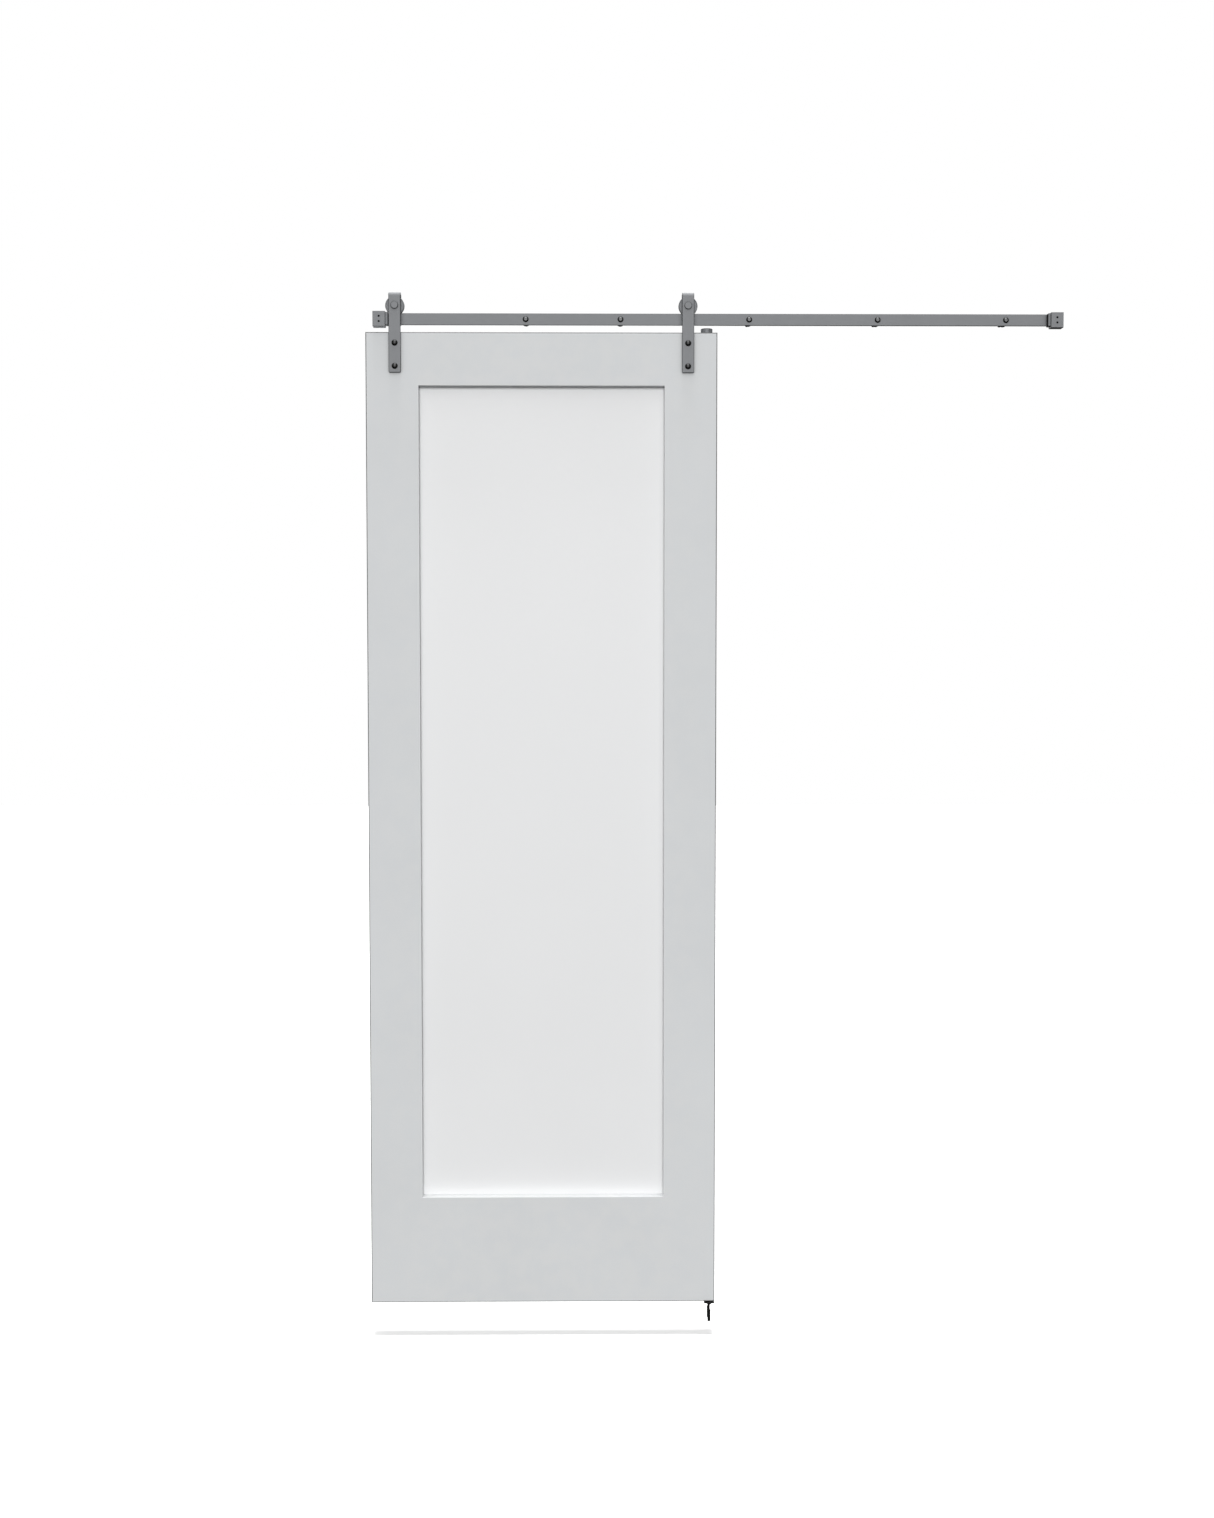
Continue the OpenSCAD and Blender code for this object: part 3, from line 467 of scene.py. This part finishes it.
# mesh helpers
def finishPiece(piece, material, replaced, edgeMaterial=None):
    piece.data.materials.append(material)
    if edgeMaterial:
        piece.data.materials.append(edgeMaterial)
    scene.collection.objects.link(piece)
    weighted = piece.modifiers.new("evenShading", "WEIGHTED_NORMAL")
    weighted.keep_sharp = True
    weighted.weight = 80
    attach(piece, bodyOf[replaced[0]])
    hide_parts(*replaced)
    return piece


def markSharp(shape, degrees):
    for edge in shape.edges:
        edge.smooth = not (edge.is_manifold and edge.calc_face_angle(0) > math.radians(degrees))
    for face in shape.faces:
        face.smooth = True


def softened(node, name, material, width, segments=3, keep=None, edgeMaterial=None, edgeTest=None,
             fineWidth=None):
    # the CAD solid again with its hard edges rounded; keep(middle, direction) leaves an edge crisp,
    # and edges that fail edgeTest(middle) get the finer rounding and the plain material
    shape = bmesh.new()
    shape.from_mesh(frame["nodes"][node].data)
    bmesh.ops.remove_doubles(shape, verts=shape.verts, dist=1e-6)
    bmesh.ops.dissolve_limit(shape, angle_limit=math.radians(0.5), verts=shape.verts, edges=shape.edges)
    full, fine = [], []
    for edge in shape.edges:
        if not edge.is_manifold or edge.calc_face_angle_signed(0) < math.radians(35):
            continue
        a, b = (vertex.co for vertex in edge.verts)
        if keep and keep((a + b) / 2, (b - a).normalized()):
            continue
        outer = edgeTest is None or edgeTest((a + b) / 2)
        (full if outer else fine).append(edge)
    # where edgeMaterial is given it is a painted-shade material, laid on the faces of the full rounding
    for edges, offset, index in ((full, width, 1 if edgeMaterial else 0), (fine, fineWidth, 0)):
        if not edges:
            continue
        rounded = bmesh.ops.bevel(shape, geom=edges, offset=offset * mm, segments=segments,
                                  profile=0.5, affect="EDGES", clamp_overlap=False,
                                  loop_slide=False)
        for face in rounded["faces"]:
            face.material_index = index
    markSharp(shape, 50)
    mesh = bpy.data.meshes.new(name)
    shape.to_mesh(mesh)
    shape.free()
    return finishPiece(bpy.data.objects.new(name, mesh), material, [node], edgeMaterial)


def turnedRings(shape, profile, centre, axis, around=48):
    # sweeps a closed or axis-to-axis profile of (radius, depth) about an axis through centre
    rotation = Vector((0, 0, 1)).rotation_difference(Vector(axis)).to_matrix()
    rings = []
    for radius, depth in profile:
        if radius < 1e-7:
            rings.append([shape.verts.new(centre + rotation @ Vector((0, 0, depth)))])
            continue
        ring = []
        for step in range(around):
            angle = 2 * math.pi * step / around
            local = Vector((radius * math.cos(angle), radius * math.sin(angle), depth))
            ring.append(shape.verts.new(centre + rotation @ local))
        rings.append(ring)
    for lower, upper in zip(rings, rings[1:]):
        for step in range(around):
            following = (step + 1) % around
            if len(lower) == 1:
                corners = (lower[0], upper[following], upper[step])
            elif len(upper) == 1:
                corners = (lower[step], lower[following], upper[0])
            else:
                corners = (lower[step], lower[following], upper[following], upper[step])
            shape.faces.new(corners)
    return rings


def threadRows(start, end, radius, depth, pitch, around, taperAt=None, tip=0.0):
    # rings of a helical thread between two depths; a point runs out from taperAt
    rows = []
    count = max(2, round((end - start) / pitch * 8))
    for row in range(count + 1):
        along = start + (end - start) * row / count
        shrink = 1.0
        if taperAt is not None and along > taperAt:
            shrink = 1 - (1 - tip) * (along - taperAt) / (end - taperAt)
        ring = []
        for step in range(around):
            phase = (along / pitch - step / around) % 1.0
            crest = 1 - abs(2 * phase - 1)
            lead = min(1.0, (along - start) / pitch)
            ring.append(((radius - depth + depth * crest * lead) * shrink, along))
        rows.append(ring)
    return rows


def threadedPart(shape, rows, centre, axis, around):
    rotation = Vector((0, 0, 1)).rotation_difference(Vector(axis)).to_matrix()
    rings = []
    for row in rows:
        ring = []
        for step, (radius, depth) in enumerate(row):
            angle = 2 * math.pi * step / around
            local = Vector((radius * math.cos(angle), radius * math.sin(angle), depth))
            ring.append(shape.verts.new(centre + rotation @ local))
        rings.append(ring)
    for lower, upper in zip(rings, rings[1:]):
        for step in range(around):
            following = (step + 1) % around
            shape.faces.new((lower[step], lower[following], upper[following], upper[step]))
    shape.faces.new(rings[-1])


def fromShape(shape, name, material, replaced, sharp=40, second=None, secondTest=None):
    bmesh.ops.remove_doubles(shape, verts=shape.verts, dist=2e-6)
    bmesh.ops.recalc_face_normals(shape, faces=shape.faces)
    markSharp(shape, sharp)
    for face in shape.faces:
        face.material_index = 1 if secondTest and secondTest(face.calc_center_median()) else 0
    mesh = bpy.data.meshes.new(name)
    shape.to_mesh(mesh)
    shape.free()
    return finishPiece(bpy.data.objects.new(name, mesh), material, replaced, second)


def arcPoints(radius, height, steps):
    # the quarter outline of a dome, from its rim up to its crown, as (radius, height)
    ball = (radius * radius + height * height) / (2 * height)
    points = []
    for step in range(steps + 1):
        r = radius * (1 - step / steps)
        points.append((r, math.sqrt(max(ball * ball - r * r, 0)) - (ball - height)))
    return points


def socketRecess(shape, centre, axis, across, depth, faceDepth, outer, around):
    # a hexagonal socket let into a round head whose face starts at the given ring
    rotation = Vector((0, 0, 1)).rotation_difference(Vector(axis)).to_matrix()

    def hexRadius(angle):
        sector = (angle + math.pi / 6) % (math.pi / 3) - math.pi / 6
        return across / 2 / math.cos(sector)

    rings = []
    for level, bottom in ((faceDepth, False), (faceDepth + depth, False), (faceDepth + depth * 1.25, True)):
        if bottom:
            rings.append([shape.verts.new(centre + rotation @ Vector((0, 0, level)))])
            continue
        ring = []
        for step in range(around):
            angle = 2 * math.pi * step / around
            r = hexRadius(angle)
            local = Vector((r * math.cos(angle), r * math.sin(angle), level))
            ring.append(shape.verts.new(centre + rotation @ local))
        rings.append(ring)
    for step in range(around):
        following = (step + 1) % around
        shape.faces.new((outer[step], outer[following], rings[0][following], rings[0][step]))
        shape.faces.new((rings[0][step], rings[0][following], rings[1][following], rings[1][step]))
        shape.faces.new((rings[1][step], rings[1][following], rings[2][0]))


# rail screws: button head with a socket, plain shank, coarse thread in the timber; the head's outer rim is
# near-black as painted shade
lagSettings = {
    "headRadius": 6.5, "headHeight": 3.6, "shankRadius": 3.7, "threadRadius": 4.0, "threadDepth": 1.0,
    "pitch": 3.6, "socketAcross": 4.0, "socketDepth": 1.0, "point": 5.0, "around": 36, "paintedShadeRimFrom": 5.4,
}


def buildLagScrews(settings):
    low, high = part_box("rail")
    front = low.y / mm
    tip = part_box("rail_lag_screws")[1].y / mm
    places = fixingPlaces()
    shape = bmesh.new()
    around = settings["around"]
    face = settings["headHeight"]
    crown = settings["socketAcross"] / 2 / math.cos(math.pi / 6) + 0.5
    dome = [point for point in arcPoints(settings["headRadius"], face, 10) if point[0] > crown]
    crownHeight = dome[-1][1]
    for x in places:
        centre = Vector((x, low.y, (low.z + high.z) / 2))
        profile = [(settings["shankRadius"], 0.0), (settings["headRadius"] - 0.2, 0.0)]
        profile += [(r, -h) for r, h in dome]
        profile.append((crown, -crownHeight - 0.05))
        scaled = [(r * mm, d * mm) for r, d in profile]
        rings = turnedRings(shape, scaled, centre, (0, 1, 0), around)
        socketRecess(shape, centre, (0, 1, 0), settings["socketAcross"] * mm, settings["socketDepth"] * mm,
                     (-crownHeight - 0.05) * mm, rings[-1], around)
        shank = [(settings["shankRadius"] * mm, 0.0), (settings["shankRadius"] * mm, (-front + 0.4) * mm),
                 ((settings["threadRadius"] - settings["threadDepth"]) * mm, (-front + 0.8) * mm)]
        turnedRings(shape, shank, centre, (0, 1, 0), around)
        rows = threadRows((-front + 0.8) * mm, (tip - front) * mm,
                          settings["threadRadius"] * mm, settings["threadDepth"] * mm,
                          settings["pitch"] * mm, around, (tip - front - settings["point"]) * mm, 0.12)
        threadedPart(shape, rows, centre, (0, 1, 0), around)
    height = (low.z + high.z) / 2

    # painted shade: the head's rim beyond the rim radius takes the near-black oxide steel as a dark ring;
    # faces behind the rail's front take it too
    def dark(middle):
        reach = min(math.hypot(middle.x - x, middle.z - height) for x in places)
        return middle.y > low.y or reach > settings["paintedShadeRimFrom"] * mm

    return fromShape(shape, "railScrews", screwSteel, ["rail_lag_screws"], second=oxideSteel, secondTest=dark)


def fixingPlaces():
    # the middle of each spacer, read from the CAD node's separate solids
    mesh = frame["nodes"]["rail_spacers"].data
    xs = sorted(vertex.co.x for vertex in mesh.vertices)
    clusters = [[xs[0]]]
    for x in xs[1:]:
        if x - clusters[-1][-1] > 0.02:
            clusters.append([])
        clusters[-1].append(x)
    return [(cluster[0] + cluster[-1]) / 2 for cluster in clusters]


# floor screws: countersunk head with a hexagonal socket, sharp coarse thread
floorScrewSettings = {
    "headRadius": 4.3, "coneHeight": 4.4, "threadRadius": 2.0, "threadDepth": 0.55,
    "pitch": 1.8, "socketAcross": 3.2, "socketDepth": 1.6, "around": 28, "point": 3.0,
}


def anchorPlaces():
    low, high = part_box("floor_anchors")
    x = (low.x + high.x) / 2
    radius = (high.x - low.x) / 2
    return [(x, low.y + radius, low.z, high.z, radius), (x, high.y - radius, low.z, high.z, radius)]


def buildFloorScrews(settings):
    low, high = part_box("floor_screws")
    shape = bmesh.new()
    around = settings["around"]
    length = (high.z - low.z) / mm
    crown = settings["socketAcross"] / 2 / math.cos(math.pi / 6) + 0.4
    for x, y in (place[:2] for place in anchorPlaces()):
        centre = Vector((x, y, high.z))
        cone = settings["coneHeight"]
        core = settings["threadRadius"] - settings["threadDepth"]
        profile = [(core, cone + 0.6), (settings["threadRadius"], cone),
                   (settings["headRadius"] - 0.2, 0.45), (settings["headRadius"] - 0.3, 0.05), (crown, 0.0)]
        scaled = [(r * mm, d * mm) for r, d in profile]
        rings = turnedRings(shape, scaled, centre, (0, 0, -1), around)
        socketRecess(shape, centre, (0, 0, -1), settings["socketAcross"] * mm, settings["socketDepth"] * mm,
                     0.0, rings[-1], around)
        rows = threadRows((cone + 0.6) * mm, length * mm, settings["threadRadius"] * mm,
                          settings["threadDepth"] * mm, settings["pitch"] * mm, around,
                          (length - settings["point"]) * mm, 0.1)
        threadedPart(shape, rows, centre, (0, 0, -1), around)
    return fromShape(shape, "floorGuideScrews", blackSteel, ["floor_screws"])


# floor anchors: plain collar, ribbed sleeve, rounded nose
anchorSettings = {"ribs": 7, "ribDepth": 0.45, "collar": 3.0, "nose": 1.6, "bore": 2.1, "around": 40}


def buildAnchors(settings):
    shape = bmesh.new()
    for x, y, bottom, top, radius in anchorPlaces():
        length = (top - bottom) / mm
        r = radius / mm
        outline = [(settings["bore"], 0.3), (settings["bore"] + 0.3, 0.0), (r - 0.3, 0.0), (r, 0.3)]
        outline.append((r, settings["collar"]))
        step = (length - settings["collar"] - settings["nose"]) / settings["ribs"]
        root = r - settings["ribDepth"]
        for rib in range(settings["ribs"]):
            start = settings["collar"] + rib * step
            outline += [(root, start + 0.15 * step), (root, start + 0.4 * step),
                        (r, start + 0.9 * step), (r, start + step)]
        for turn in range(1, 6):
            angle = math.pi / 2 * turn / 6
            nose = settings["nose"]
            outline.append((r - nose + nose * math.cos(angle), length - nose + nose * math.sin(angle)))
        outline.append((0, length))
        scaled = [(a * mm, b * mm) for a, b in outline]
        turnedRings(shape, [(settings["bore"] * mm, (length - 2.5) * mm), scaled[0]] + scaled[1:],
                    Vector((x, y, top)), (0, 0, -1), settings["around"])
        turnedRings(shape, [(settings["bore"] * mm, (length - 2.5) * mm), (0, (length - 2.5) * mm)],
                    Vector((x, y, top)), (0, 0, -1), settings["around"])
    return fromShape(shape, "floorAnchors", blackPlastic, ["floor_anchors"], 60)


buildLagScrews(lagSettings)
buildFloorScrews(floorScrewSettings)
buildAnchors(anchorSettings)
print("screws and anchors built")


# door leaf: outer edges and the opening's edges are eased, the glued joints stay crisp
leafSettings = {"ease": 2.0, "openingEase": 0.7, "segments": 4}


def leafKeep(node):
    low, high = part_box("left_stile")[0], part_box("right_stile")[1]
    openLow = Vector((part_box("left_stile")[1].x, 0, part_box("bottom_rail")[1].z))
    openHigh = Vector((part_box("right_stile")[0].x, 0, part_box("top_rail")[0].z))
    near = 0.0005

    def keep(middle, direction):
        onFace = abs(middle.y - low.y) < near or abs(middle.y - high.y) < near
        outer = (abs(middle.x - low.x) < near or abs(middle.x - high.x) < near
                 or abs(middle.z - low.z) < near or abs(middle.z - high.z) < near)
        upright = abs(direction.z) > 0.99
        across = abs(direction.x) > 0.99
        if outer and onFace and upright:
            return not (abs(middle.x - low.x) < near or abs(middle.x - high.x) < near)
        if outer and onFace and across:
            return not (abs(middle.z - low.z) < near or abs(middle.z - high.z) < near)
        front = abs(middle.y - low.y) < near
        insideX = openLow.x - near < middle.x < openHigh.x + near
        insideZ = openLow.z - near < middle.z < openHigh.z + near
        if front and upright and "stile" in node:
            return True
        if front and across and "rail" in node and insideX and insideZ:
            return False
        return True

    return keep


def nearLeafEdge(middle):
    low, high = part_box("left_stile")[0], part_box("right_stile")[1]
    reach = 2 * leafSettings["ease"] * mm
    return (middle.x < low.x + reach or middle.x > high.x - reach
            or middle.z < low.z + reach or middle.z > high.z - reach)


leafPieces = {
    "left_stile": ("leftStile", stilePaint),
    "right_stile": ("rightStile", stilePaint),
    "top_rail": ("topRail", railPaint),
    "bottom_rail": ("bottomRail", railPaint),
}
# the outer edges' rounding takes the dark painted-shade arris paint
for node, (name, material) in leafPieces.items():
    softened(node, name, material, leafSettings["ease"], leafSettings["segments"], leafKeep(node),
             edgeMaterial=shadedArrisPaint, edgeTest=nearLeafEdge, fineWidth=leafSettings["openingEase"])
print("leaf built")


# everything else keeps its CAD form, with edges rounded to suit the piece
softPieces = {
    "rail": ("wallRail", satinSteel, 0.7),
    "rail_spacers": ("railSpacers", oxideSteel, 0.5),
    "left_stop_block": ("leftStopBlock", satinSteel, 0.6),
    "right_stop_block": ("rightStopBlock", satinSteel, 0.6),
    "left_stop_pad": ("leftStopPad", blackRubber, 0.35),
    "right_stop_pad": ("rightStopPad", blackRubber, 0.35),
    "left_set_screws": ("leftSetScrews", oxideSteel, 0.2),
    "right_set_screws": ("rightSetScrews", oxideSteel, 0.2),
    "floor_guide": ("floorGuide", powderCoat, 0.3),
    "left_strap": ("leftStrap", strapSteel, 0.9),
    "right_strap": ("rightStrap", strapSteel, 0.9),
    "left_axle_bolt": ("leftAxleBolt", strapSteel, 0.5),
    "right_axle_bolt": ("rightAxleBolt", strapSteel, 0.5),
    "left_axle_nut": ("leftAxleNut", strapSteel, 0.5),
    "right_axle_nut": ("rightAxleNut", strapSteel, 0.5),
    "left_strap_bolts": ("leftStrapBolts", domeSteel, 0.2),
    "right_strap_bolts": ("rightStrapBolts", domeSteel, 0.2),
    "left_sleeve_nuts": ("leftSleeveNuts", bearingSteel, 0.3),
    "right_sleeve_nuts": ("rightSleeveNuts", bearingSteel, 0.3),
    "anti_jump_disc": ("antiJumpDisc", satinSteel, 0.4),
    "anti_jump_screw": ("antiJumpScrew", blackSteel, 0.15),
    "left_wheel": ("leftWheel", wheelSteel, 0.25),
    "right_wheel": ("rightWheel", wheelSteel, 0.25),
    "left_bead": ("leftBead", stilePaint, 0.6),
    "right_bead": ("rightBead", stilePaint, 0.6),
    "top_bead": ("topBead", railPaint, 0.6),
    "bottom_bead": ("bottomBead", railPaint, 0.6),
    "glass_pane": ("frostedPane", frostedGlass, 0.5),
    "setting_blocks": ("settingBlocks", blackRubber, 0.3),
    "frame_dowels": ("frameDowels", dowelWood, 0.8),
}
# these pieces' rounded edges take the near-black painted-shade steel
shadeEdgedPieces = ("rail", "left_strap", "right_strap", "left_stop_block", "right_stop_block", "anti_jump_disc",
         "left_axle_bolt", "right_axle_bolt")
for node, (name, material, width) in softPieces.items():
    softened(node, name, material, width, edgeMaterial=shadedEdgeSteel if node in shadeEdgedPieces else None)

innerFinishes = {
    "glazing_tape": blackRubber,
    "left_axle_bushes": bearingSteel, "right_axle_bushes": bearingSteel,
    "left_inner_race": bearingSteel, "right_inner_race": bearingSteel,
    "left_outer_race": bearingSteel, "right_outer_race": bearingSteel,
    "left_shields": bearingSteel, "right_shields": bearingSteel,
    "left_balls": bearingSteel, "right_balls": bearingSteel,
    "left_ball_cage": cageBrass, "right_ball_cage": cageBrass,
}
for node, material in innerFinishes.items():
    mesh = frame["nodes"][node].data
    mesh.materials.clear()
    mesh.materials.append(material)


# pale floor and soft studio light
studio = {
    "floorDrop": 0.03, "floorSize": 30.0,
    "sky": ((0.0, 0.02), (0.25, 0.08), (0.38, 0.5), (0.5, 0.85), (0.8, 0.9), (0.93, 1.1),
            (0.97, 1.5), (1.0, 1.8)),
    "sideShade": 0.12, "sideFrom": 0.2, "sideTo": 0.65, "backLift": 2.0, "backLow": 0.25,
    "frontStrength": 1.93, "frontHeight": 8.0, "frontSpread": 17.0,
    "topStrength": 3.0, "topHeight": 88.0, "topSpread": 10.0,
}


def buildFloor(settings):
    size = settings["floorSize"] / 2
    lowest = cadBox[0][2] - settings["floorDrop"]
    shape = bmesh.new()
    signs = ((-1, -1), (1, -1), (1, 1), (-1, 1))
    shape.faces.new([shape.verts.new((sx * size, sy * size, lowest)) for sx, sy in signs])
    mesh = bpy.data.meshes.new("studioFloor")
    shape.to_mesh(mesh)
    shape.free()
    floor = bpy.data.objects.new("studioFloor", mesh)
    material, tree, shader = newTree("paleFloor")
    mottle = placeGroup(tree, mottleGroup, Cloud=0.8, Speckle=60.0)
    tone = rangeNode(tree, mottle.outputs[0], -0.5, 0.5)
    tree.links.new(tinted(tree, (0.93, 0.93, 0.93), (0.96, 0.96, 0.96), tone), shader.inputs["Base Color"])
    shader.inputs["Roughness"].default_value = 0.9
    shader.inputs["Specular IOR Level"].default_value = 0.0
    shader.inputs["Emission Color"].default_value = (1, 1, 1, 1)
    shader.inputs["Emission Strength"].default_value = 0.1
    mesh.materials.append(material)
    scene.collection.objects.link(floor)
    floor.visible_diffuse = False
    floor.visible_glossy = False
    floor.visible_transmission = False


def buildWorld(settings):
    world = bpy.data.worlds.new("studioWorld")
    scene.world = world
    world.use_nodes = True
    tree = world.node_tree
    tree.nodes.clear()
    output = tree.nodes.new("ShaderNodeOutputWorld")
    place = addNode(tree, "ShaderNodeTexCoord")
    split = addNode(tree, "ShaderNodeSeparateXYZ")
    tree.links.new(place.outputs["Generated"], split.inputs[0])
    height = mathNode(tree, "MULTIPLY_ADD", split.outputs["Z"], 0.5)
    height.node.inputs[2].default_value = 0.5
    ramp = tree.nodes.new("ShaderNodeValToRGB")
    tree.links.new(height, ramp.inputs[0])
    stops = ramp.color_ramp.elements
    while len(stops) < len(settings["sky"]):
        stops.new(0.5)
    peak = max(value for position, value in settings["sky"])
    for element, (position, value) in zip(stops, settings["sky"]):
        element.position = position
        element.color = (value / peak, value / peak, value / peak, 1)
    sideways = mathNode(tree, "ABSOLUTE", split.outputs["X"])
    shade = rangeNode(tree, sideways, settings["sideFrom"], settings["sideTo"], 1.0, settings["sideShade"])
    behind = rangeNode(tree, split.outputs["Y"], 0.1, 0.7)
    above = rangeNode(tree, split.outputs["Z"], -0.05, 0.1, settings["backLow"] - 1, settings["backLift"] - 1)
    lift = mathNode(tree, "ADD", mathNode(tree, "MULTIPLY", behind, above), 1.0)
    level = mathNode(tree, "MULTIPLY", mathNode(tree, "MULTIPLY", ramp.outputs[0], shade), lift)
    lighting = addNode(tree, "ShaderNodeBackground")
    tree.links.new(level, lighting.inputs["Color"])
    lighting.inputs["Strength"].default_value = peak
    backdrop = addNode(tree, "ShaderNodeBackground", {"Color": (1, 1, 1, 1), "Strength": 1.0})
    seen = addNode(tree, "ShaderNodeLightPath")
    blend = addNode(tree, "ShaderNodeMixShader")
    tree.links.new(seen.outputs["Is Camera Ray"], blend.inputs[0])
    tree.links.new(lighting.outputs[0], blend.inputs[1])
    tree.links.new(backdrop.outputs[0], blend.inputs[2])
    tree.links.new(blend.outputs[0], output.inputs["Surface"])


def buildLight(name, strength, height, spread):
    # a large soft source at the given height above the front, left out of reflections
    data = bpy.data.lights.new(name, "SUN")
    data.energy = strength
    data.angle = math.radians(spread)
    light = bpy.data.objects.new(name, data)
    scene.collection.objects.link(light)
    light.rotation_euler = (math.radians(90 - height), 0, 0)
    light.visible_glossy = False


buildFloor(studio)
buildWorld(studio)
for side in ("front", "top"):
    buildLight(side + "Light", studio[side + "Strength"], studio[side + "Height"], studio[side + "Spread"])
print("studio built")
